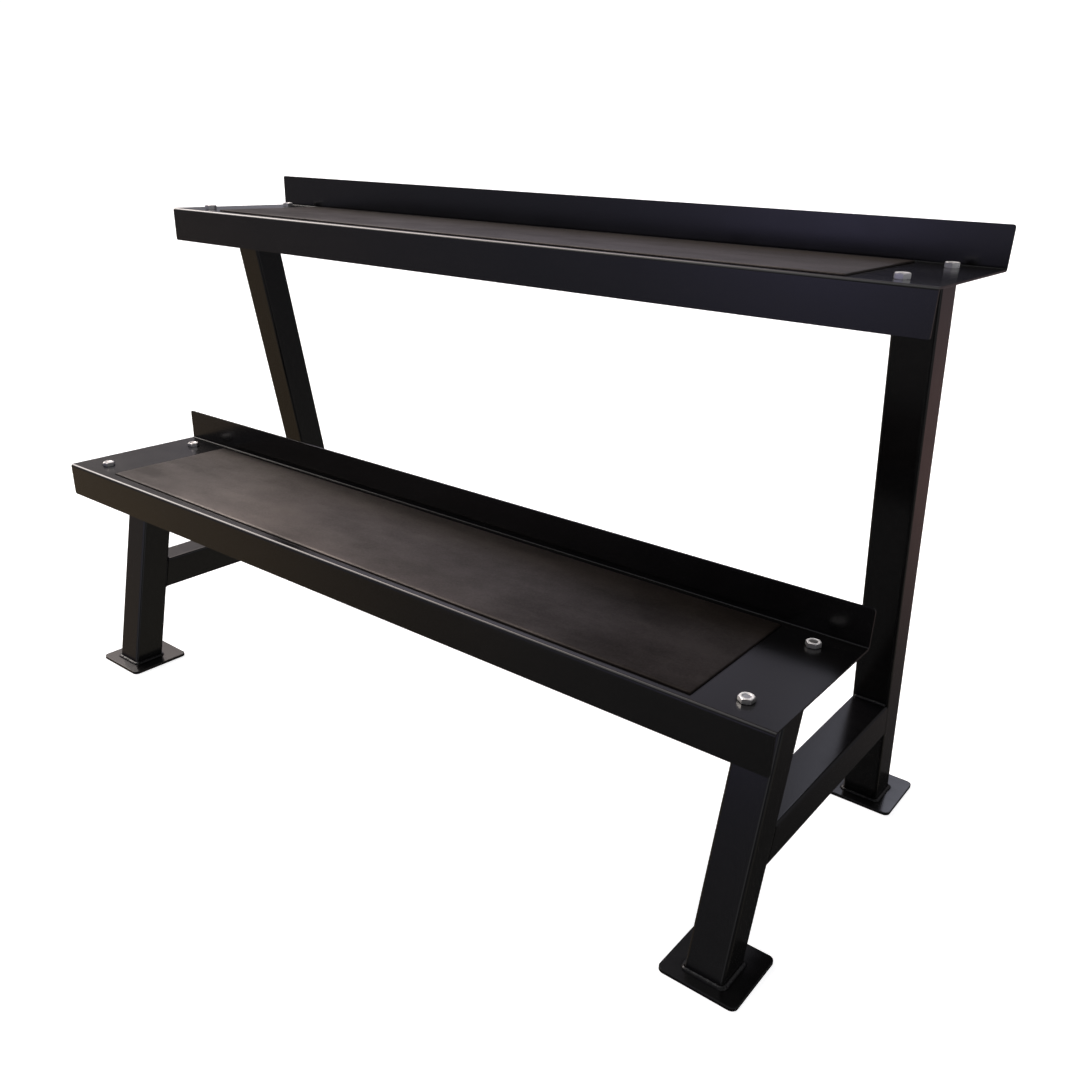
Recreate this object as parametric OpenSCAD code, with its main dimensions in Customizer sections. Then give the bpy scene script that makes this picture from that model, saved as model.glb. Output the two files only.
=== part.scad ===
// Two-tier dumbbell rack: two folded steel shelves with loose rubber mats, bolted
// down on two welded end frames of square tube that stand on foot plates.
// X runs along the rack, Y from front to back and Z up, in millimetres.
// The origin is on the floor, at the middle of the rack's footprint.

/* [Overall] */
// Length of both shelves, end to end
rack_l = 1500; // [900:10:2200]
// Height of the lower shelf's top face above the floor
lower_h = 427; // [340:1:560]
// Height of the upper shelf's top face above the floor
upper_h = 887; // [720:1:1100]
// How far the upper shelf's front sits behind the lower shelf's front
shelf_step = 290; // [240:1:360]

/* [Shelves] */
// Depth of a shelf, from its front face to its back face
shelf_d = 280; // [220:1:340]
// Thickness of the folded sheet
sheet_t = 3; // [2:0.5:4]
// Inside radius of both folds
fold_r = 2; // [1:0.5:4]
// How far the front lip hangs below the top face
front_lip = 60; // [40:1:75]
// How far the rear lip stands above the top face
rear_lip = 57; // [40:1:75]
// Radius of the outer corners of both lips
lip_corner_r = 4; // [1:0.5:8]

/* [Tubes] */
// Outside width of the square tube
tube_w = 60; // [50:1:72]
// Wall of the square tube
tube_t = 3; // [2:0.5:4]
// Radius of the tube's outer corners
tube_r = 5; // [4.5:0.5:8]
// Distance from a shelf's end to the outer face of the end frame below it
frame_inset = 30; // [25:1:40]
// Backward lean of the front leg as it rises, in degrees
front_lean = 12; // [8:0.5:16]
// Forward lean of the rear upright as it rises, in degrees
rear_lean = 11; // [8:0.5:14]
// Height of the side rail's underside above the floor
rail_z = 153; // [100:1:200]

/* [Plates] */
// Side of a square foot plate
foot_w = 120; // [100:1:144]
// Thickness of a foot plate
foot_t = 6; // [4:0.5:10]
// Radius of a foot plate's corners
foot_r = 10; // [3:1:20]
// How far a foot plate's middle sits behind the middle of its tube
foot_shift = 8; // [0:1:14]
// Thickness of the plate that a shelf bolts down on
mount_t = 6; // [4:0.5:8]
// Radius of a mount plate's corners
mount_r = 3; // [1:0.5:8]
// Distance from a shelf's front or back face to the end of its mount plate
mount_margin = 20; // [12:1:30]

/* [Mats] */
// Thickness of a rubber mat
mat_t = 3; // [2:0.5:8]
// Distance from a shelf's end to the end of its mat
mat_end = 118; // [95:1:160]
// Gap from a shelf's front face, and from its rear lip, to the mat
mat_gap = 13.5; // [8:0.5:25]

/* [Fasteners] */
// Diameter of the shelf bolts
bolt_d = 12; // [10:1:14]
// Length of a shelf bolt under its head
bolt_l = 25; // [24:1:35]
// Distance from the end of a mount plate to the middle of its bolt
bolt_edge = 25; // [20:1:32]
// Width across the flats of the bolt heads and nuts
hex_af = 19; // [17:1:22]
// Height of a bolt head
head_h = 7.5; // [6:0.5:9]
// Height of a nut
nut_h = 10; // [8:0.5:12]
// Outside diameter of a flat washer
washer_d = 24; // [20:1:28]
// Thickness of a flat washer
washer_t = 2.5; // [1.5:0.5:3]
// How much wider the holes in plates, sheets and washers are than the bolt
hole_play = 1; // [0.5:0.5:2]
// How much wider a nut's bore is than the bolt
thread_play = 0.2; // [0.1:0.1:0.5]

/* [Welds] */
// Leg length of the weld beads
weld = 6; // [3:0.5:8]

/* [Hidden] */

$fn = 64;
powder_black = [0.07, 0.07, 0.08];
rubber_grey = [0.25, 0.24, 0.23];
zinc_silver = [0.80, 0.80, 0.82];
LEFT = -1;
RIGHT = 1;

// Middle of an end frame, along X, for LEFT or RIGHT
function frame_x(side) = side * (rack_l / 2 - frame_inset - tube_w / 2);

// Front faces of the shelves, measured back from the lower shelf's front
lower_y = 0;
upper_y = shelf_step;

// Undersides of the mount plates, where the tubes end
lower_top = lower_h - sheet_t - mount_t;
upper_top = upper_h - sheet_t - mount_t;

// Middles of the tubes at height z. Each tube ends under the middle of its shelf.
function leg_y(z) = lower_y + shelf_d / 2 - (lower_top - z) * tan(front_lean);
function upright_y(z) = upper_y + shelf_d / 2 + (upper_top - z) * tan(rear_lean);

// Half the depth of a leaning tube's level section
leg_half = tube_w / 2 / cos(front_lean);
upright_half = tube_w / 2 / cos(rear_lean);

front_foot_y = leg_y(foot_t) + foot_shift;
rear_foot_y = upright_y(foot_t) + foot_shift;

// Front and back of the whole rack, and the middle that the origin sits at
front_edge = min(lower_y, front_foot_y - foot_w / 2);
back_edge = max(upper_y + shelf_d, rear_foot_y + foot_w / 2);
mid_y = (front_edge + back_edge) / 2;

fold_out = fold_r + sheet_t;
hole_d = bolt_d + hole_play;
mount_l = shelf_d - 2 * mount_margin;
bolt_pitch = mount_l - 2 * bolt_edge;
nut_z = -sheet_t - mount_t - washer_t - nut_h;
rail_top = rail_z + tube_w;
weld_w = tube_w - 2 * tube_r;
past = 1;

// ---- Flat outlines ----

module rounded_rect(w, d, r) {
    square([w - 2 * r, d], center = true);
    square([w, d - 2 * r], center = true);
    for (sx = [-1, 1], sy = [-1, 1]) {
        translate([sx * (w / 2 - r), sy * (d / 2 - r)])
            circle(r = r);
    }
}

module tube_outline() {
    difference() {
        rounded_rect(tube_w, tube_w, tube_r);
        rounded_rect(tube_w - 2 * tube_t, tube_w - 2 * tube_t, tube_r - tube_t);
    }
}

// A quarter of a bend in the sheet, filling the corner towards -X and +Y
module fold_outline() {
    intersection() {
        difference() {
            circle(r = fold_out);
            circle(r = fold_r);
        }
        translate([-fold_out, 0])
            square(fold_out);
    }
}

// Side view of a shelf: X is back from its front face, Y is up from its top face
module shelf_outline() {
    translate([fold_out, -sheet_t])
        square([shelf_d - 2 * fold_out, sheet_t]);
    translate([0, -front_lip])
        square([sheet_t, front_lip - fold_out]);
    translate([shelf_d - sheet_t, fold_r])
        square([sheet_t, rear_lip - fold_r]);
    translate([fold_out, -fold_out])
        fold_outline();
    translate([shelf_d - fold_out, fold_r])
        rotate(180)
            fold_outline();
}

// ---- Placing and shaping helpers ----

// Turns an outline drawn as (back, up) into a bar of length l, centred along X
module bar_along_x(l) {
    rotate([90, 0, 90])
        linear_extrude(l, center = true)
            children();
}

// Solid bar of the tube's outline or wall, from z = low to z = high, through
// (x, y) at z = high, leaning so that its top is further back for a positive lean
module leaning_bar(x, y, low, high, lean) {
    reach = (high - low) / cos(lean) + tube_w;
    intersection() {
        translate([x, y, high])
            rotate([-lean, 0, 0])
                translate([0, 0, -reach])
                    linear_extrude(reach + tube_w)
                        children();
        translate([x - tube_w, y - 2 * reach, low])
            cube([2 * tube_w, 4 * reach, high - low]);
    }
}

module leg_bar(side) {
    leaning_bar(frame_x(side), leg_y(lower_top) - mid_y, foot_t, lower_top, front_lean)
        children();
}

module upright_bar(side) {
    leaning_bar(frame_x(side), upright_y(upper_top) - mid_y, foot_t, upper_top, -rear_lean)
        children();
}

// Puts children at both bolt places of a shelf's end, with z = 0 on its top face
module at_bolts(side, front, height) {
    for (s = [-1, 1]) {
        translate([frame_x(side), front + shelf_d / 2 + s * bolt_pitch / 2 - mid_y, height])
            children();
    }
}

module hexagon(h) {
    cylinder(d = hex_af / cos(30), h = h, $fn = 6);
}

// A cone-cut disc that takes the sharp points off one end of a hexagon
module point_cutter(h) {
    corner_d = hex_af / cos(30);
    flat_d = hex_af * 0.95;
    slope_h = (corner_d + past - flat_d) / 2 * tan(30);
    cylinder(d = corner_d + past, h = h - slope_h);
    translate([0, 0, h - slope_h])
        cylinder(d1 = corner_d + past, d2 = flat_d, h = slope_h);
}

// ---- Feet, tubes and mount plates ----

module foot_plate(side, y) {
    color(powder_black)
        translate([frame_x(side), y - mid_y, 0])
            linear_extrude(foot_t)
                rounded_rect(foot_w, foot_w, foot_r);
}

module front_leg(side) {
    color(powder_black)
        leg_bar(side)
            tube_outline();
}

module rear_upright(side) {
    color(powder_black)
        upright_bar(side)
            tube_outline();
}

// The rail's ends are cut to the slopes of the leg's back and the upright's front
module side_rail(side) {
    front_low = leg_y(rail_z) + leg_half;
    front_high = leg_y(rail_top) + leg_half;
    back_low = upright_y(rail_z) - upright_half;
    back_high = upright_y(rail_top) - upright_half;
    color(powder_black)
        translate([frame_x(side), -mid_y, 0])
            intersection() {
                translate([0, 0, rail_z + tube_w / 2])
                    rotate([-90, 0, 0])
                        linear_extrude(back_edge)
                            tube_outline();
                bar_along_x(tube_w + 2 * past)
                    polygon([
                        [front_low, rail_z],
                        [back_low, rail_z],
                        [back_high, rail_top],
                        [front_high, rail_top]
                    ]);
            }
}

module mount_plate(side, front, height) {
    color(powder_black)
        difference() {
            translate([frame_x(side), front + shelf_d / 2 - mid_y, height - sheet_t - mount_t])
                linear_extrude(mount_t)
                    rounded_rect(tube_w, mount_l, mount_r);
            at_bolts(side, front, height - sheet_t - mount_t - past)
                cylinder(d = hole_d, h = mount_t + 2 * past);
        }
}

// ---- Shelves and mats ----

module shelf(front, height) {
    lips = front_lip + rear_lip;
    color(powder_black)
        difference() {
            intersection() {
                translate([0, front - mid_y, height])
                    bar_along_x(rack_l)
                        shelf_outline();
                translate([0, front - mid_y - past, height + (rear_lip - front_lip) / 2])
                    rotate([-90, 0, 0])
                        linear_extrude(shelf_d + 2 * past)
                            rounded_rect(rack_l, lips, lip_corner_r);
            }
            for (side = [LEFT, RIGHT]) {
                at_bolts(side, front, height - sheet_t - past)
                    cylinder(d = hole_d, h = sheet_t + 2 * past);
            }
        }
}

module mat(front, height) {
    mat_d = shelf_d - sheet_t - 2 * mat_gap;
    color(rubber_grey)
        translate([mat_end - rack_l / 2, front + mat_gap - mid_y, height])
            cube([rack_l - 2 * mat_end, mat_d, mat_t]);
}

// ---- Fasteners ----

// Hex bolt with its head on z = 0 and its shank hanging below
module bolts(side, front, height) {
    tip = bolt_d / 12;
    color(zinc_silver)
        at_bolts(side, front, height) {
            intersection() {
                hexagon(head_h);
                point_cutter(head_h);
            }
            translate([0, 0, tip - bolt_l])
                cylinder(d = bolt_d, h = bolt_l - tip + past);
            translate([0, 0, -bolt_l])
                cylinder(d1 = bolt_d - 2 * tip, d2 = bolt_d, h = tip);
        }
}

module washers(side, front, height) {
    color(zinc_silver)
        at_bolts(side, front, height - sheet_t - mount_t - washer_t)
            difference() {
                cylinder(d = washer_d, h = washer_t);
                translate([0, 0, -past])
                    cylinder(d = hole_d, h = washer_t + 2 * past);
            }
}

module nuts(side, front, height) {
    color(zinc_silver)
        at_bolts(side, front, height + nut_z)
            difference() {
                intersection() {
                    hexagon(nut_h);
                    point_cutter(nut_h);
                    translate([0, 0, nut_h])
                        mirror([0, 0, 1])
                            point_cutter(nut_h);
                }
                translate([0, 0, -past])
                    cylinder(d = bolt_d + thread_play, h = nut_h + 2 * past);
            }
}

// ---- Welds ----

// A three-sided bead across X, in the corner at (y, z), with one leg of the corner
// along a and the other along b, both as (back, up) directions
module bead(y, z, a, b) {
    bar_along_x(weld_w)
        polygon([[y, z], [y, z] + weld * a, [y, z] + weld * b]);
}

// Four beads on a foot plate, one along each side of the tube that stands on it
module foot_weld(side, y, half, lean) {
    up = [sin(lean), cos(lean)];
    color(powder_black)
        translate([frame_x(side), y - mid_y, foot_t]) {
            bead(-half, 0, up, [-1, 0]);
            bead(half, 0, up, [1, 0]);
            for (s = [-1, 1]) {
                rotate([90, 0, 0])
                    linear_extrude(2 * (half - tube_r), center = true)
                        polygon([
                            [s * tube_w / 2, 0],
                            [s * (tube_w / 2 + weld), 0],
                            [s * tube_w / 2, weld]
                        ]);
            }
        }
}

module front_foot_weld(side) {
    foot_weld(side, leg_y(foot_t), leg_half, front_lean);
}

module rear_foot_weld(side) {
    foot_weld(side, upright_y(foot_t), upright_half, -rear_lean);
}

// Beads across the top and the bottom of the rail, at both of its ends
module rail_welds(side) {
    leg_up = [sin(front_lean), cos(front_lean)];
    upright_up = [-sin(rear_lean), cos(rear_lean)];
    color(powder_black)
        translate([frame_x(side), -mid_y, 0]) {
            bead(leg_y(rail_top) + leg_half, rail_top, leg_up, [1, 0]);
            bead(leg_y(rail_z) + leg_half, rail_z, -leg_up, [1, 0]);
            bead(upright_y(rail_top) - upright_half, rail_top, upright_up, [-1, 0]);
            bead(upright_y(rail_z) - upright_half, rail_z, -upright_up, [-1, 0]);
        }
}

// Beads under a mount plate, along the front and the back of its tube
module mount_welds(side, y, z, half, lean) {
    down = [-sin(lean), -cos(lean)];
    color(powder_black)
        translate([frame_x(side), -mid_y, 0]) {
            bead(y - half, z, down, [-1, 0]);
            bead(y + half, z, down, [1, 0]);
        }
}

module lower_mount_welds(side) {
    mount_welds(side, leg_y(lower_top), lower_top, leg_half, front_lean);
}

module upper_mount_welds(side) {
    mount_welds(side, upright_y(upper_top), upper_top, upright_half, -rear_lean);
}

// ---- The pieces ----

foot_plate(LEFT, front_foot_y);  // left_front_foot_plate
foot_plate(RIGHT, front_foot_y);  // right_front_foot_plate
foot_plate(LEFT, rear_foot_y);  // left_rear_foot_plate
foot_plate(RIGHT, rear_foot_y);  // right_rear_foot_plate
front_leg(LEFT);  // left_front_leg
front_leg(RIGHT);  // right_front_leg
rear_upright(LEFT);  // left_rear_upright
rear_upright(RIGHT);  // right_rear_upright
side_rail(LEFT);  // left_side_rail
side_rail(RIGHT);  // right_side_rail
mount_plate(LEFT, lower_y, lower_h);  // lower_left_mount_plate
mount_plate(RIGHT, lower_y, lower_h);  // lower_right_mount_plate
mount_plate(LEFT, upper_y, upper_h);  // upper_left_mount_plate
mount_plate(RIGHT, upper_y, upper_h);  // upper_right_mount_plate
shelf(lower_y, lower_h);  // lower_shelf
shelf(upper_y, upper_h);  // upper_shelf
mat(lower_y, lower_h);  // lower_mat
mat(upper_y, upper_h);  // upper_mat
bolts(LEFT, lower_y, lower_h);  // lower_left_bolts
bolts(RIGHT, lower_y, lower_h);  // lower_right_bolts
bolts(LEFT, upper_y, upper_h);  // upper_left_bolts
bolts(RIGHT, upper_y, upper_h);  // upper_right_bolts
washers(LEFT, lower_y, lower_h);  // lower_left_washers
washers(RIGHT, lower_y, lower_h);  // lower_right_washers
washers(LEFT, upper_y, upper_h);  // upper_left_washers
washers(RIGHT, upper_y, upper_h);  // upper_right_washers
nuts(LEFT, lower_y, lower_h);  // lower_left_nuts
nuts(RIGHT, lower_y, lower_h);  // lower_right_nuts
nuts(LEFT, upper_y, upper_h);  // upper_left_nuts
nuts(RIGHT, upper_y, upper_h);  // upper_right_nuts
front_foot_weld(LEFT);  // left_front_foot_weld
front_foot_weld(RIGHT);  // right_front_foot_weld
rear_foot_weld(LEFT);  // left_rear_foot_weld
rear_foot_weld(RIGHT);  // right_rear_foot_weld
rail_welds(LEFT);  // left_rail_welds
rail_welds(RIGHT);  // right_rail_welds
lower_mount_welds(LEFT);  // lower_left_mount_welds
lower_mount_welds(RIGHT);  // lower_right_mount_welds
upper_mount_welds(LEFT);  // upper_left_mount_welds
upper_mount_welds(RIGHT);  // upper_right_mount_welds
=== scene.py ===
"""Looks of a two-tier dumbbell rack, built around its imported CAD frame.

The CAD shelves, tubes and plates stay and get bevelled edges and a powder coat.
The mats, the welds and the fasteners are modelled here in detail.
Everything is in metres, in the frame of the CAD model.
"""

import math
import random

import bmesh
import bpy
from mathutils import Euler, Matrix, Vector, noise


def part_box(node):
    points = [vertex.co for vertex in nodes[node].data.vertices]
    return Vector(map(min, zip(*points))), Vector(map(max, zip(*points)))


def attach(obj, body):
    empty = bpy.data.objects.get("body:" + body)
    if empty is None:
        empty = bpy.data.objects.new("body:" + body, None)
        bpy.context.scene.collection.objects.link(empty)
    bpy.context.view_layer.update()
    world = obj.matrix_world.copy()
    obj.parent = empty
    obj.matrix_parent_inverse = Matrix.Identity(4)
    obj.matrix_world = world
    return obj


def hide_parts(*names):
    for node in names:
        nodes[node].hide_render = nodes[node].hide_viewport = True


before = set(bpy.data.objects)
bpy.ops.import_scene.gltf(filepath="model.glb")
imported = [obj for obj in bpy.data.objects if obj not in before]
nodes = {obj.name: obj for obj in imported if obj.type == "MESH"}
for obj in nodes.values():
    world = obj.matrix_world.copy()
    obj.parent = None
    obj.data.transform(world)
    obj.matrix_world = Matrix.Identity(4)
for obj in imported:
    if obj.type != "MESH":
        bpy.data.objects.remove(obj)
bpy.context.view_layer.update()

BODY = "root"
MM = 0.001
UP = Vector((0, 0, 1))
SIDES = ("left", "right")
TIERS = ("lower", "upper")

TUBE_CORNER = 5 * MM
# How far the tubes lean as they rise: backwards is positive
LEAN = {"leg": math.radians(12), "upright": -math.radians(11)}


# ---- Meshes ----

def piece(name, bm, slot, material, *replaced):
    """Turns a bmesh into a shown piece that rides on the rack."""
    bmesh.ops.recalc_face_normals(bm, faces=bm.faces)
    mesh = bpy.data.meshes.new(name)
    bm.to_mesh(mesh)
    bm.free()
    obj = bpy.data.objects.new(name, mesh)
    bpy.context.scene.collection.objects.link(obj)
    mesh.materials.append(material)
    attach(obj, BODY)
    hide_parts(*replaced)
    return obj


def shade_smooth(obj, sharp_angle):
    """Smooth shading, kept crisp at edges that turn more than sharp_angle."""
    obj.data.shade_smooth()
    obj.data.set_sharp_from_angle(angle=math.radians(sharp_angle))


def bridge(bm, first, second):
    """Faces between two loops of the same number of points."""
    for i in range(len(first)):
        j = (i + 1) % len(first)
        bm.faces.new((first[i], first[j], second[j], second[i]))


def stack_rings(bm, rings, closed):
    """Joins rings of points in order: a closed stack meets its own start, an
    open one is capped."""
    made = [[bm.verts.new(p) for p in ring] for ring in rings]
    for first, second in zip(made, made[1:]):
        bridge(bm, first, second)
    if closed:
        bridge(bm, made[-1], made[0])
    else:
        bm.faces.new(made[0])
        bm.faces.new(made[-1])


# ---- Fasteners ----

# Points in a ring
AROUND = 72
HEX_FLATS = 19 * MM
# The round face of a head or nut, where the cut points start
FACED_R = HEX_FLATS / 2 * 0.95
CHAMFER_SLOPE = math.tan(math.radians(30))
BOLT_R = 6 * MM
HEAD_FACE = 0.5 * MM
HEAD_DISH = 1.1 * MM
# How far below the head the thread starts
THREAD_START = 8 * MM
THREAD_PITCH = 1.75 * MM
THREAD_DEPTH = 1.0 * MM
TIP_CHAMFER = 1.2 * MM
# Depth of the band at the top of each head that gets the painted highlight
RIM_HIGHLIGHT_BAND = 0.55 * MM


def hex_radius(angle):
    """Distance from the middle of a hexagon to its outline."""
    sixth = math.radians(60)
    return HEX_FLATS / 2 / math.cos(angle % sixth - sixth / 2)


def turned_ring(radius, height, spin=0.0):
    """A ring of points. Radius and height are numbers, or functions of the angle."""
    points = []
    for i in range(AROUND):
        angle = math.tau * i / AROUND
        r = radius(angle) if callable(radius) else radius
        z = height(angle) if callable(height) else height
        turned = angle + spin
        points.append(Vector((r * math.cos(turned), r * math.sin(turned), z)))
    return points


def hex_rings(low, high, spin, bottom_bevel):
    """Rings up the side of a hexagon whose points are cut off by cones."""
    def fall(angle):
        return max(0.0, hex_radius(angle) - FACED_R) * CHAMFER_SLOPE

    def bottom(angle):
        return low + (fall(angle) if bottom_bevel else 0.0)

    def top(angle):
        return high - fall(angle)

    return [turned_ring(hex_radius, bottom, spin), turned_ring(hex_radius, top, spin)]


def thread_rings(start, end):
    """Rings down a threaded shank, with a blunt cone at its tip."""
    rings = []
    steps_a_turn = 8
    steps = math.ceil((start - end) / THREAD_PITCH * steps_a_turn)
    for i in range(steps + 1):
        z = start + (end - start) * i / steps
        tip = max(0.0, TIP_CHAMFER - (z - end))

        def radius(angle, z=z, tip=tip):
            turn = (z / THREAD_PITCH - angle / math.tau) % 1.0
            groove = THREAD_DEPTH * (1 - abs(2 * turn - 1))
            return min(BOLT_R - groove, BOLT_R - tip)
        rings.append(turned_ring(radius, z))
    return rings


def bolt_rings(head, length, spin):
    """A hex bolt from the middle of its dished head down to its tip."""
    rim_r = FACED_R * 0.86
    dish_r = FACED_R * 0.60
    shoulder = head - HEAD_DISH * 0.22
    rings = [
        turned_ring(dish_r * 0.25, head - HEAD_DISH),
        turned_ring(dish_r * 0.92, head - HEAD_DISH),
        turned_ring(dish_r, head - HEAD_DISH * 0.90),
        turned_ring(dish_r * 1.14, head - HEAD_DISH * 0.42),
        turned_ring(rim_r * 0.92, head - HEAD_DISH * 0.10),
        turned_ring(rim_r, head),
        turned_ring(FACED_R * 0.94, head - HEAD_DISH * 0.04),
        turned_ring(FACED_R, shoulder),
    ]
    rings += reversed(hex_rings(HEAD_FACE, shoulder, spin, False))
    rings += [
        turned_ring(FACED_R, HEAD_FACE),
        turned_ring(FACED_R, 0.0),
        turned_ring(BOLT_R, 0.0),
    ]
    return rings + thread_rings(-THREAD_START, -length)


def nut_rings(low, high, spin):
    """A hex nut: up its outside and back down its bore."""
    bore = BOLT_R + 0.1 * MM
    countersink = 0.7 * MM
    mouth = bore + countersink
    rings = [turned_ring(mouth, low), turned_ring(FACED_R, low)]
    rings += hex_rings(low, high, spin, True)
    rings += [turned_ring(FACED_R, high), turned_ring(mouth, high)]
    return rings + [
        turned_ring(bore, high - countersink),
        turned_ring(bore, low + countersink),
    ]


def washer_rings(outer, low, high):
    """A punched washer, rounded over on top and sharper below."""
    bore = BOLT_R + 0.5 * MM
    over = 0.5 * MM
    under = 0.15 * MM
    return [
        turned_ring(bore, low),
        turned_ring(outer - under, low),
        turned_ring(outer, low + under),
        turned_ring(outer, high - over),
        turned_ring(outer - over * 0.3, high - over * 0.3),
        turned_ring(outer - over, high),
        turned_ring(bore, high),
    ]


def bolt_places(group):
    """Middles of the two bolts of a shelf's end, read from their washers."""
    low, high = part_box(f"{group}_washers")
    r = (high.x - low.x) / 2
    x = (low.x + high.x) / 2
    return [Vector((x, low.y + r, 0)), Vector((x, high.y - r, 0))], r


def placed(rings, at):
    """Rings moved to a place."""
    return [[p + at for p in ring] for ring in rings]


def fastener_piece(name, sets, closed, material, node):
    """One piece that holds a group of like fasteners."""
    bm = bmesh.new()
    for rings in sets:
        stack_rings(bm, rings, closed)
    obj = piece(name, bm, "zinc_fasteners", material, node)
    shade_smooth(obj, 24)
    return obj


def paint_rim_highlights(obj, top, material):
    """Gives the rim round each head, up to height top, its own material, which paints a
    highlight on it.
    """
    obj.data.materials.append(material)
    for face in obj.data.polygons:
        face.material_index = int(face.center.z > top - RIM_HIGHLIGHT_BAND)


def build_fasteners(material, rim_highlight_material, rng):
    """Bolts, washers and nuts at both ends of both shelves, each turned as it
    happened to end up when it was tightened."""
    nut_offset = 0.4
    for tier in TIERS:
        for side in SIDES:
            group = f"{tier}_{side}"
            places, washer_r = bolt_places(group)
            tip, head_top = (p.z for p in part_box(f"{group}_bolts"))
            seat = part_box(f"{tier}_mat")[0].z
            washer_low, washer_high = (p.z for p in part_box(f"{group}_washers"))
            nut_low, nut_high = (p.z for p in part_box(f"{group}_nuts"))
            spins = [rng.uniform(0, math.radians(60)) for _ in places]
            bolts = fastener_piece(f"{group}_hex_bolts", [
                placed(bolt_rings(head_top - seat, seat - tip, spin), at + UP * seat)
                for at, spin in zip(places, spins)
            ], False, material, f"{group}_bolts")
            paint_rim_highlights(bolts, head_top, rim_highlight_material)
            fastener_piece(f"{group}_flat_washers", [
                placed(washer_rings(washer_r, washer_low, washer_high), at)
                for at in places
            ], True, material, f"{group}_washers")
            fastener_piece(f"{group}_hex_nuts", [
                placed(nut_rings(nut_low, nut_high, spin + nut_offset), at)
                for at, spin in zip(places, spins)
            ], True, material, f"{group}_nuts")


# ---- Welds ----

BEAD_STEP = 0.6 * MM
BEAD_ARC = 8
RIPPLE = 4.2 * MM
SUNK = 0.4 * MM
# Leg lengths of the fillet beads. A foot's is longer at the tube's sides
FOOT_LEG = 4.6 * MM
FOOT_SIDE_EXTRA = 1.4 * MM
RAIL_LEG = 5.2 * MM
MOUNT_LEG = 5.4 * MM
# A rail's side seams: half their width, and how deep their middle lies
SEAM_HALF = 3.6 * MM
SEAM_DEPTH = 2.4 * MM
# How far a straight bead stops short of a tube's sides
END_GAP = 4 * MM


def bead_size(leg, along, turn, seed):
    """Size of a weld bead: overlapping ripples on a slowly wandering width."""
    pitch = RIPPLE * (1 + 0.25 * noise.noise(Vector((along / 0.02, seed, 1.0))))
    phase = (along + 0.8 * pitch * math.sin(2 * turn)) / pitch % 1.0
    scallop = math.sqrt(max(0.0, 1 - (2 * phase - 1) ** 2))
    wander = noise.noise(Vector((along / 0.008, seed, 5.0)))
    return leg * (0.76 + 0.15 * scallop + 0.14 * wander)


def fillet_ring(corner, up, out, leg, along, seed):
    """Outline of a fillet weld in the corner between two faces."""
    ring = [corner - (up + out) * SUNK]
    for i in range(BEAD_ARC + 1):
        turn = math.pi / 2 * i / BEAD_ARC
        size = bead_size(leg, along, turn, seed)
        point = up * math.cos(turn) ** 1.4 + out * math.sin(turn) ** 1.4
        ring.append(corner + point * size)
    ring[1] -= out * SUNK
    ring[-1] -= up * SUNK
    return ring


def seam_ring(centre, along_dir, out, half_width, along, seed):
    """Outline of a bead that fills a groove nearly flush."""
    ring = []
    for i in range(2 * BEAD_ARC):
        turn = math.tau * i / (2 * BEAD_ARC)
        size = bead_size(1.0, along, abs(turn - math.pi) / 2, seed)
        ring.append(
            centre + along_dir * (half_width * size * math.cos(turn))
            + out * (half_width * 0.72 * size * math.sin(turn))
        )
    return ring


def straight_bead(bm, start, end, ring_at):
    """Sweeps ring_at(point, distance, share) from start to end."""
    length = (end - start).length
    count = max(2, round(length / BEAD_STEP))
    rings = []
    for i in range(count + 1):
        share = i / count
        rings.append(ring_at(start.lerp(end, share), length * share, share))
    stack_rings(bm, rings, False)


def end_fade(share):
    """Bead size near its ends, where the weld pool starts and stops."""
    return min(1.0, 0.55 + 9 * min(share, 1 - share))


def tube_loop(half_x, half_y, corner):
    """Points and outward directions round a rounded rectangle, evenly spaced."""
    found = []
    quarter = math.pi / 2 * corner
    for k in range(4):
        run = (half_y if k % 2 == 0 else half_x) - corner
        turn = Matrix.Rotation(math.pi / 2 * k, 3, "Z")
        reach = half_x if k % 2 == 0 else half_y
        for i in range(round(2 * run / BEAD_STEP)):
            y = -run + i * BEAD_STEP
            found.append((turn @ Vector((reach, y, 0)), turn @ Vector((1, 0, 0))))
        for i in range(round(quarter / BEAD_STEP) + 1):
            angle = i * BEAD_STEP / corner
            out = Vector((math.cos(angle), math.sin(angle), 0))
            middle = Vector((reach - corner, run, 0))
            found.append((turn @ (middle + out * corner), turn @ out))
    return found


def foot_bead(tube, lean, seed):
    """One bead all round the foot of a leaning tube."""
    low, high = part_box(tube)
    half_x = (high.x - low.x) / 2
    half_y = half_x / math.cos(lean)
    y = low.y + half_y if lean > 0 else high.y - half_y
    middle = Vector(((low.x + high.x) / 2, y, low.z))
    up = Vector((0, math.sin(lean), math.cos(lean)))
    bm = bmesh.new()
    rings = []
    for i, (point, out) in enumerate(tube_loop(half_x, half_y, TUBE_CORNER)):
        leg = FOOT_LEG + FOOT_SIDE_EXTRA * abs(out.x) ** 3
        rings.append(fillet_ring(middle + point, up, out, leg, i * BEAD_STEP, seed))
    stack_rings(bm, rings, True)
    return bm


def face_y(tube, lean, z, back):
    """Y of a leaning tube's front or back face at height z."""
    low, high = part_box(tube)
    half = (high.x - low.x) / 2 / math.cos(lean)
    base = low.y + half if lean > 0 else high.y - half
    return base + (z - low.z) * math.tan(lean) + (half if back else -half)


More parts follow.
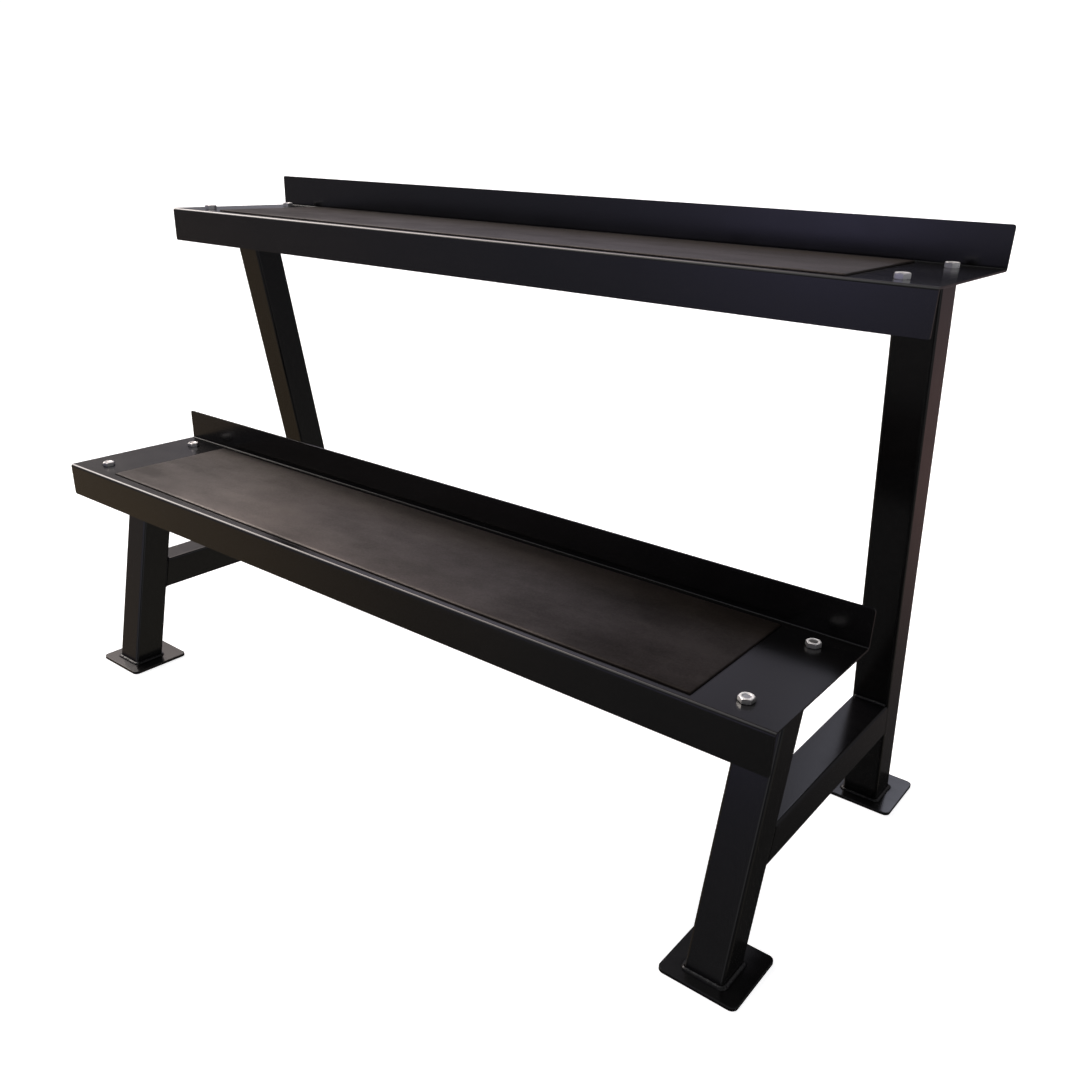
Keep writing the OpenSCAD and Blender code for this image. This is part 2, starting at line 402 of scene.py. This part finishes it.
def rail_beads(side, seed):
    """Beads across the rail's top and bottom and up its sides, at both ends."""
    low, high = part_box(f"{side}_side_rail")
    bm = bmesh.new()
    joins = (
        (f"{side}_front_leg", LEAN["leg"], True),
        (f"{side}_rear_upright", LEAN["upright"], False),
    )
    for tube, lean, back in joins:
        out = Vector((0, 1 if back else -1, 0))
        slope = Vector((0, math.sin(lean), math.cos(lean)))
        for z, up in ((high.z, slope), (low.z, -slope)):
            y = face_y(tube, lean, z, back)
            straight_bead(
                bm, Vector((low.x + END_GAP, y, z)), Vector((high.x - END_GAP, y, z)),
                lambda p, d, s, up=up, z=z: fillet_ring(
                    p, up, out, RAIL_LEG * end_fade(s), d, seed + z),
            )
        for x, away in ((low.x, -1), (high.x, 1)):
            ends = []
            for z in (low.z + END_GAP, high.z - END_GAP):
                y = face_y(tube, lean, z, back) - out.y * SEAM_DEPTH
                ends.append(Vector((x - away * SEAM_DEPTH, y, z)))
            straight_bead(
                bm, ends[0], ends[1],
                lambda p, d, s, away=away: seam_ring(
                    p, Vector((0, 1, 0)), Vector((away, 0, 0)), SEAM_HALF, d, seed + away),
            )
    return bm


def mount_beads(tube, lean, seed):
    """Beads under a mount plate, along the front and the back of its tube."""
    low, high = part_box(tube)
    bm = bmesh.new()
    down = -Vector((0, math.sin(lean), math.cos(lean)))
    for back in (False, True):
        y = face_y(tube, lean, high.z, back)
        out = Vector((0, 1 if back else -1, 0))
        straight_bead(
            bm, Vector((low.x + END_GAP, y, high.z)), Vector((high.x - END_GAP, y, high.z)),
            lambda p, d, s, out=out: fillet_ring(
                p, down, out, MOUNT_LEG * end_fade(s), d, seed + out.y),
        )
    return bm


def build_welds(material):
    """Every weld of the two end frames, each with a wander of its own."""
    seed = 0.0
    seed_step = 7.3
    made = []
    for side in SIDES:
        for corner, tube, lean in (("front", "leg", LEAN["leg"]),
                                   ("rear", "upright", LEAN["upright"])):
            seed += seed_step
            node = f"{side}_{corner}_foot_weld"
            bm = foot_bead(f"{side}_{corner}_{tube}", lean, seed)
            made.append((f"{side}_{corner}_foot_bead", bm, node))
            seed += seed_step
            tier = "lower" if tube == "leg" else "upper"
            bm = mount_beads(f"{side}_{corner}_{tube}", lean, seed)
            made.append((f"{tier}_{side}_mount_beads", bm, f"{tier}_{side}_mount_welds"))
        seed += seed_step
        made.append((f"{side}_rail_beads", rail_beads(side, seed), f"{side}_rail_welds"))
    for name, bm, node in made:
        obj = piece(name, bm, "coated_weld", material, node)
        shade_smooth(obj, 60)


# ---- Mats ----

# Cells of the mat's grid, and the width of its softened edge
MAT_ALONG = 220
MAT_ACROSS = 48
MAT_EDGE = 1.6 * MM


def mat_outline(node, u, v, inset):
    """A point of the mat, for shares u and v of its length and depth. Its cut
    edges are slightly crooked, and all lie within its CAD solid."""
    low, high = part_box(node)
    wander = 0.5 * MM * noise.noise(Vector((u * 9, v * 3, 2.0)))
    left = low.x + (2.5 + 4.5 * v) * MM + wander
    right = high.x - (0.5 + 1.0 * v) * MM + wander
    front = low.y + (0.5 + 8.0 * (1 - u) ** 2.2) * MM + wander
    back = high.y - (0.5 + 1.2 * math.sin(math.pi * u)) * MM + wander
    return Vector((
        left + inset + (right - left - 2 * inset) * u,
        front + inset + (back - front - 2 * inset) * v,
        0,
    ))


def mat_height(x, y):
    """How much the laid rubber rises and falls, in metres."""
    slow = noise.noise(Vector((x * 3.0, y * 5.0, 0.0)))
    quick = noise.noise(Vector((x * 16.0, y * 16.0, 4.0)))
    return 0.22 * MM * slow + 0.07 * MM * quick


def mat_grid(bm, node, inset, height):
    """A grid of points over the mat, wavy on top and flat below."""
    rows = []
    for j in range(MAT_ACROSS + 1):
        row = []
        for i in range(MAT_ALONG + 1):
            p = mat_outline(node, i / MAT_ALONG, j / MAT_ACROSS, inset)
            row.append(bm.verts.new((p.x, p.y, height(p.x, p.y))))
        rows.append(row)
    for first, second in zip(rows, rows[1:]):
        for i in range(MAT_ALONG):
            bm.faces.new((first[i], first[i + 1], second[i + 1], second[i]))
    return rows


def edge_shares():
    """Shares u and v in order round the mat's edge."""
    along = [i / MAT_ALONG for i in range(MAT_ALONG)]
    across = [j / MAT_ACROSS for j in range(MAT_ACROSS)]
    return (
        [(u, 0.0) for u in along] + [(1.0, v) for v in across]
        + [(1 - u, 1.0) for u in along] + [(0.0, 1 - v) for v in across]
    )


def grid_border(rows):
    """A grid's outermost points, in the order of edge_shares."""
    return (
        rows[0][:-1] + [row[-1] for row in rows[:-1]]
        + rows[-1][:0:-1] + [row[0] for row in rows[:0:-1]]
    )


def build_mat(tier, material):
    """A loose sheet of rubber with softened cut edges."""
    node = f"{tier}_mat"
    low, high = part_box(node)
    bm = bmesh.new()
    top = mat_grid(bm, node, MAT_EDGE, lambda x, y: high.z - 0.3 * MM + mat_height(x, y))
    bottom = mat_grid(bm, node, 0.4 * MM, lambda x, y: low.z + 0.05 * MM)
    loops = [grid_border(bottom)]
    sides = (
        (0.0, low.z + 0.3 * MM),
        (0.0, low.z + 1.0 * MM),
        (0.25 * MM, high.z - 1.25 * MM),
        (0.8 * MM, high.z - 0.65 * MM),
    )
    for inset, z in sides:
        ring = []
        for u, v in edge_shares():
            p = mat_outline(node, u, v, inset)
            ring.append(bm.verts.new((p.x, p.y, z)))
        loops.append(ring)
    loops.append(grid_border(top))
    for first, second in zip(loops, loops[1:]):
        bridge(bm, first, second)
    obj = piece(f"{tier}_rubber_sheet", bm, "rubber_mat", material, node)
    shade_smooth(obj, 50)


# ---- Carried-over CAD nodes ----

PLATE_BEVEL = 0.8 * MM
SHEET_BEVEL = 0.5 * MM
# Points closer than this are joined
SAME_POINT = 0.01 * MM


def smoothing_group():
    """A modifier group that shades every face smooth."""
    group = bpy.data.node_groups.new("smooth_faces", "GeometryNodeTree")
    for way in ("INPUT", "OUTPUT"):
        group.interface.new_socket("Geometry", in_out=way,
                                   socket_type="NodeSocketGeometry")
    start = group.nodes.new("NodeGroupInput")
    smooth = group.nodes.new("GeometryNodeSetShadeSmooth")
    end = group.nodes.new("NodeGroupOutput")
    group.links.new(start.outputs[0], smooth.inputs[0])
    group.links.new(smooth.outputs[0], end.inputs[0])
    return group


def soften_edges(obj, width, group):
    """Rounds a plate's cut edges, as blasting and coating leave them."""
    weld = obj.modifiers.new("join", "WELD")
    weld.merge_threshold = SAME_POINT
    flat = obj.modifiers.new("flat_faces", "DECIMATE")
    flat.decimate_type = "DISSOLVE"
    flat.angle_limit = math.radians(0.5)
    bevel = obj.modifiers.new("edges", "BEVEL")
    bevel.width = width
    bevel.segments = 3
    bevel.limit_method = "ANGLE"
    bevel.angle_limit = math.radians(35)
    smooth = obj.modifiers.new("smooth", "NODES")
    smooth.node_group = group
    normals = obj.modifiers.new("normals", "WEIGHTED_NORMAL")
    normals.mode = "FACE_AREA"
    normals.weight = 100


def finish_frame(material):
    """Coats the CAD shelves, tubes and plates."""
    group = smoothing_group()
    for name, obj in nodes.items():
        if obj.hide_render:
            continue
        for slot in obj.material_slots:
            slot.material = material
        if name.endswith("foot_plate"):
            soften_edges(obj, PLATE_BEVEL, group)
        elif name.endswith(("mount_plate", "shelf")):
            soften_edges(obj, SHEET_BEVEL, group)


# ---- Materials ----

def add(tree, kind, inputs=None, **settings):
    """Adds a node. Each input is a value, or another node's socket to link."""
    node = tree.nodes.new(kind)
    for key, value in settings.items():
        setattr(node, key, value)
    for key, value in (inputs or {}).items():
        if isinstance(value, bpy.types.NodeSocket):
            tree.links.new(value, node.inputs[key])
        else:
            node.inputs[key].default_value = value
    return node


def new_tree(name):
    """A material with an empty shader, its tree and its object coordinates."""
    material = bpy.data.materials.new(name)
    material.use_nodes = True
    tree = material.node_tree
    tree.nodes.clear()
    coords = add(tree, "ShaderNodeTexCoord").outputs["Object"]
    return material, tree, coords


def cloud(tree, coords, scale, detail=2.0, roughness=0.5, stretch=(1, 1, 1)):
    """Noise with scale blobs to the metre, stretched along an axis if asked."""
    place = coords
    if tuple(stretch) != (1, 1, 1):
        place = add(tree, "ShaderNodeMapping", {
            "Vector": coords, "Scale": stretch}).outputs[0]
    found = add(tree, "ShaderNodeTexNoise", {
        "Vector": place, "Scale": scale, "Detail": detail, "Roughness": roughness})
    return found.outputs["Fac"]


def ramp(tree, factor, stops):
    """Colours along a factor, as (position, colour) stops."""
    node = add(tree, "ShaderNodeValToRGB", {"Fac": factor})
    elements = node.color_ramp.elements
    while len(elements) < len(stops):
        elements.new(0.5)
    for element, (position, colour) in zip(elements, stops):
        element.position = position
        element.color = (*colour, 1.0)
    return node.outputs["Color"]


def spread(tree, factor, low, high, start=0.0, end=1.0):
    """Maps start..end of a factor to low..high."""
    return add(tree, "ShaderNodeMapRange", {
        "Value": factor, "From Min": start, "From Max": end,
        "To Min": low, "To Max": high}).outputs[0]


def combine(tree, mode, first, second):
    """Adds or multiplies two colours, which are sockets 6 and 7 of the node."""
    return add(tree, "ShaderNodeMix", {0: 1.0, 6: first, 7: second},
               data_type="RGBA", blend_type=mode).outputs[2]


def total(tree, *parts):
    """Sum of factors, each with its own weight."""
    result = None
    for factor, weight in parts:
        inputs = {0: factor, 1: weight, 2: 0.0 if result is None else result}
        node = add(tree, "ShaderNodeMath", inputs, operation="MULTIPLY_ADD")
        result = node.outputs[0]
    return result


def bump(tree, height, distance):
    """A bumpy normal, distance metres from its lowest to its highest."""
    return add(tree, "ShaderNodeBump", {
        "Height": height, "Distance": distance, "Strength": 1.0}).outputs[0]


def surface(tree, **inputs):
    """The principled shader and the output, with inputs named in words."""
    named = {key.replace("_", " "): value for key, value in inputs.items()}
    shader = add(tree, "ShaderNodeBsdfPrincipled", named)
    add(tree, "ShaderNodeOutputMaterial", {"Surface": shader.outputs[0]})


def powder_coat(name, peel_height, rough_low, rough_high):
    """Gloss black powder coat: orange peel and faint smudges, with painted shade: less
    reflection in the inside corners, where ambient occlusion finds them."""
    material, tree, coords = new_tree(name)
    smudge = total(
        tree, (cloud(tree, coords, 5.0, 4.0, 0.6), 0.65),
        (cloud(tree, coords, 38.0, 3.0, 0.6, (0.35, 1, 1)), 0.35))
    colour = ramp(tree, smudge, (
        (0.35, (0.0018, 0.0018, 0.0021)), (0.68, (0.0036, 0.0033, 0.0032))))
    fleck = ramp(tree, cloud(tree, coords, 950.0, 1.0), (
        (0.70, (0, 0, 0)), (0.82, (0.008, 0.0078, 0.0075))))
    colour = combine(tree, "ADD", colour, fleck)
    peel = total(
        tree, (cloud(tree, coords, 330.0, 1.0, 0.4), 0.8),
        (cloud(tree, coords, 1400.0, 1.0, 0.5), 0.2))
    # Painted shade: ambient occlusion dims the coat's reflection in inside corners and
    # folds
    corner = add(tree, "ShaderNodeAmbientOcclusion", {"Distance": 6 * MM}, samples=8)
    gloss = spread(tree, corner.outputs["AO"], 0.04, 0.5, 0.70, 0.92)
    surface(
        tree, Base_Color=colour, Specular_IOR_Level=gloss,
        Roughness=spread(tree, smudge, rough_low, rough_high, 0.3, 0.7),
        Normal=bump(tree, peel, peel_height))
    return material


def rubber(name, sheen_along_length):
    """Dark recycled rubber: cloudy and finely grained. Its list of shares and gloss paints
    a sheen along its length, as (share of its length, gloss)."""
    material, tree, coords = new_tree(name)
    shifted = add(tree, "ShaderNodeMapping", {
        "Vector": coords, "Location": (1.7, 0.3, 0.0)}).outputs[0]
    streaks = cloud(tree, shifted, 3.2, 4.0, 0.62, (0.45, 1.6, 1))
    blots = cloud(tree, coords, 17.0, 4.0, 0.6, (0.6, 1, 1))
    mottle = total(
        tree, (streaks, 0.50), (blots, 0.34),
        (cloud(tree, coords, 260.0, 2.0, 0.6), 0.16))
    colour = ramp(tree, mottle, (
        (0.36, (0.0058, 0.0044, 0.0038)), (0.50, (0.0110, 0.0086, 0.0073)),
        (0.64, (0.0200, 0.0160, 0.0137))))
    crumb = ramp(tree, cloud(tree, coords, 1100.0, 2.0, 0.6), (
        (0.30, (0.62, 0.62, 0.62)), (0.70, (1.30, 1.28, 1.26))))
    colour = combine(tree, "MULTIPLY", colour, crumb)
    # Painted sheen: gloss that rises and falls along the mat's length, standing in for how
    # the light falls across it
    along = add(tree, "ShaderNodeSeparateXYZ", {0: coords}).outputs["X"]
    painted_sheen = ramp(tree, spread(tree, along, 0.0, 1.0, -0.65, 0.65), [
        (share, (gloss,) * 3) for share, gloss in sheen_along_length])
    gloss = add(tree, "ShaderNodeMath", {
        0: painted_sheen, 1: spread(tree, mottle, 0.60, 1.40, 0.38, 0.62)},
        operation="MULTIPLY").outputs[0]
    grain = total(
        tree, (cloud(tree, coords, 700.0, 3.0, 0.65), 0.7),
        (cloud(tree, coords, 120.0, 2.0, 0.5), 0.3))
    surface(
        tree, Base_Color=colour, Specular_IOR_Level=gloss,
        Specular_Tint=(1.0, 0.86, 0.78, 1.0),
        Roughness=spread(tree, mottle, 0.55, 0.43, 0.36, 0.64),
        Normal=bump(tree, grain, 0.00022))
    return material


def zinc(name, shade, metallic):
    """Zinc plate over forged steel, slightly uneven and stained."""
    material, tree, coords = new_tree(name)
    stain = total(
        tree, (cloud(tree, coords, 120.0, 4.0, 0.6), 0.6),
        (cloud(tree, coords, 900.0, 2.0, 0.6), 0.4))
    colour = ramp(tree, stain, (
        (0.32, (0.84 * shade, 0.82 * shade, 0.80 * shade)),
        (0.50, (0.94 * shade, 0.93 * shade, 0.92 * shade)),
        (0.70, (1.00 * shade, 1.00 * shade, 1.00 * shade))))
    surface(
        tree, Base_Color=colour, Metallic=metallic,
        Roughness=spread(tree, stain, 0.38, 0.24, 0.3, 0.7),
        Normal=bump(tree, cloud(tree, coords, 620.0, 3.0, 0.6), 0.00006))
    return material


# ---- Studio ----

CAMERA_PLACE = (1.1173, -1.2612, 1.0228)
# How far it turns to its left, looks down and rolls, in degrees
CAMERA_TURN = (37.323, 24.384, 1.832)
LENS = 33.268
LENS_SHIFT = (0.0006, 0.0522)
TARGET = Vector((0, 0, 0.45))
# Soft patches of light round the studio: heading, sharpness and colour
LOBES = (
    ((-0.840, -0.010, 0.545), 36.0, (10.0, 9.3, 8.8)),
    ((-0.656, 0.265, 0.707), 40.0, (7.60, 6.60, 6.20)),
    ((-0.158, 0.814, 0.559), 200.0, (2.20, 2.25, 2.65)),
    ((-0.570, 0.730, 0.375), 35.0, (0.60, 0.57, 0.73)),
    ((-0.350, -0.200, 0.910), 6.0, (0.26, 0.26, 0.27)),
    ((-0.370, -0.929, 0.000), 120.0, (0.60, 0.55, 1.00)),
    ((-0.587, -0.808, 0.100), 26.0, (0.16, 0.16, 0.24)),
    ((-0.393, -0.772, -0.500), 12.0, (0.09, 0.09, 0.09)),
    ((-0.850, -0.397, -0.345), 23.0, (0.26, 0.175, 0.080)),
    ((0.250, 0.930, -0.235), 80.0, (0.19, 0.085, 0.065)),
    ((0.772, 0.446, -0.454), 30.0, (0.19, 0.175, 0.14)),
)
# Headings of faint light all round, for the sides that the lobes miss
FILLS = (
    (0.16, -0.97, -0.16), (0.98, -0.12, -0.12), (-0.28, 0.90, -0.33),
    (-0.68, 0.70, -0.24), (-0.97, 0.15, -0.20), (0.20, -0.91, 0.36),
    (0.68, -0.68, 0.27), (0.92, -0.05, 0.38), (0.62, 0.55, 0.56),
    (0.00, 0.05, 1.00),
)
FILL_SHARPNESS = 30.0
FILL_COLOUR = (0.60, 0.60, 0.62)
BACKDROP = 1.05
FLOOR_GLOW = 0.80
FLOOR_HALF = 40.0
FLOOR_DROP = 0.4 * MM
# The studio's dim walls, by height: 0 is straight down and 1 straight up
WALLS = (
    (0.00, (0.020, 0.020, 0.020)), (0.21, (0.026, 0.025, 0.025)),
    (0.29, (0.055, 0.052, 0.052)), (0.45, (0.110, 0.110, 0.125)),
    (0.52, (0.120, 0.120, 0.138)), (0.57, (0.100, 0.100, 0.120)),
    (0.66, (0.112, 0.102, 0.099)), (0.86, (0.065, 0.065, 0.070)),
    (1.00, (0.200, 0.200, 0.205)),
)


def lobe(tree, direction, heading, sharpness, colour):
    """A round soft patch of light on the sky."""
    aim = Vector(heading).normalized()
    dot = add(tree, "ShaderNodeVectorMath", {0: direction, 1: aim},
              operation="DOT_PRODUCT").outputs["Value"]
    power = add(tree, "ShaderNodeMath", {0: dot, 1: sharpness, 2: -sharpness},
                operation="MULTIPLY_ADD").outputs[0]
    value = add(tree, "ShaderNodeMath", {0: power}, operation="EXPONENT").outputs[0]
    scale = add(tree, "ShaderNodeVectorMath", {0: colour, "Scale": value},
                operation="SCALE")
    return scale.outputs[0]


def build_world():
    """A white backdrop to look at, and a dim studio for surfaces to reflect."""
    world = bpy.data.worlds.new("studio")
    bpy.context.scene.world = world
    world.use_nodes = True
    tree = world.node_tree
    tree.nodes.clear()
    direction = add(tree, "ShaderNodeTexCoord").outputs["Generated"]
    split = add(tree, "ShaderNodeSeparateXYZ", {0: direction})
    height = spread(tree, split.outputs["Z"], 0.0, 1.0, -1.0, 1.0)
    room = ramp(tree, height, WALLS)
    fills = tuple((heading, FILL_SHARPNESS, FILL_COLOUR) for heading in FILLS)
    for heading, sharpness, colour in LOBES + fills:
        patch = lobe(tree, direction, heading, sharpness, colour)
        room = combine(tree, "ADD", room, patch)
    seen = add(tree, "ShaderNodeLightPath").outputs["Is Camera Ray"]
    lit = add(tree, "ShaderNodeBackground", {"Color": room, "Strength": 1.0})
    white = add(tree, "ShaderNodeBackground", {
        "Color": (1, 1, 1, 1), "Strength": BACKDROP})
    mix = add(tree, "ShaderNodeMixShader", {
        0: seen, 1: lit.outputs[0], 2: white.outputs[0]})
    add(tree, "ShaderNodeOutputWorld", {"Surface": mix.outputs[0]})


def build_floor():
    """A pale seamless floor that doesn't show in the gloss of the coat."""
    bm = bmesh.new()
    half = FLOOR_HALF
    corners = [bm.verts.new((x, y, -FLOOR_DROP)) for x, y in (
        (-half, -half), (half, -half), (half, half), (-half, half))]
    bm.faces.new(corners)
    mesh = bpy.data.meshes.new("studio_floor")
    bm.to_mesh(mesh)
    bm.free()
    floor = bpy.data.objects.new("studio_floor", mesh)
    bpy.context.scene.collection.objects.link(floor)
    material, tree, _ = new_tree("studio_floor_surface")
    matt = add(tree, "ShaderNodeBsdfDiffuse", {"Color": (0.86, 0.86, 0.86, 1)})
    seen = add(tree, "ShaderNodeLightPath").outputs["Is Camera Ray"]
    glow = add(tree, "ShaderNodeEmission", {
        "Color": (1, 1, 1, 1), "Strength": spread(tree, seen, 0.0, FLOOR_GLOW)})
    both = add(tree, "ShaderNodeAddShader", {0: matt.outputs[0], 1: glow.outputs[0]})
    clear = add(tree, "ShaderNodeBsdfTransparent")
    under = add(tree, "ShaderNodeNewGeometry").outputs["Backfacing"]
    mix = add(tree, "ShaderNodeMixShader", {
        0: under, 1: both.outputs[0], 2: clear.outputs[0]})
    add(tree, "ShaderNodeOutputMaterial", {"Surface": mix.outputs[0]})
    mesh.materials.append(material)
    floor.visible_glossy = False


def build_softbox(name, place, size, power):
    """A square soft light at a place, which faces the rack."""
    data = bpy.data.lights.new(name, "AREA")
    data.shape = "SQUARE"
    data.size = size
    data.energy = power
    light = bpy.data.objects.new(name, data)
    light.location = place
    light.rotation_euler = (TARGET - light.location).to_track_quat("-Z", "Y").to_euler()
    light.visible_camera = False
    bpy.context.scene.collection.objects.link(light)


def build_camera():
    """The camera: where it stands, which way it looks and how it frames."""
    data = bpy.data.cameras.new("camera")
    data.sensor_width = 36.0
    data.lens = LENS
    data.shift_x, data.shift_y = LENS_SHIFT
    camera = bpy.data.objects.new("camera", data)
    camera.location = CAMERA_PLACE
    azimuth, elevation, roll = (math.radians(a) for a in CAMERA_TURN)
    aim = Euler((math.pi / 2 - elevation, 0, azimuth)).to_matrix()
    camera.rotation_euler = (aim @ Matrix.Rotation(roll, 3, "Z")).to_euler()
    bpy.context.scene.collection.objects.link(camera)
    bpy.context.scene.camera = camera


build_camera()
build_world()
build_floor()
build_softbox("overhead_softbox", Vector((-1.0, -0.9, 3.4)), size=2.4, power=12.0)
bpy.context.scene.view_settings.view_transform = "Standard"

# The heads' rims get a white, unmetallic copy of the zinc: a painted highlight
build_fasteners(
    zinc("zinc_fasteners_surface", 0.62, 0.85), zinc("zinc_rim_painted_highlight_surface", 1.0, 0.0),
    random.Random(4))
build_welds(powder_coat("coated_weld_surface", 0.00006, 0.20, 0.30))
# Each mat's gloss along its length is a painted sheen; the upper mat's is weaker
build_mat("lower", rubber("lower_rubber_surface", (
    (0.12, 0.34), (0.34, 1.00), (0.60, 0.80), (0.88, 0.12))))
build_mat("upper", rubber("upper_rubber_surface", (
    (0.10, 0.08), (0.50, 0.22), (0.90, 0.55))))
finish_frame(powder_coat("black_powder_coat_surface", 0.000022, 0.15, 0.25))
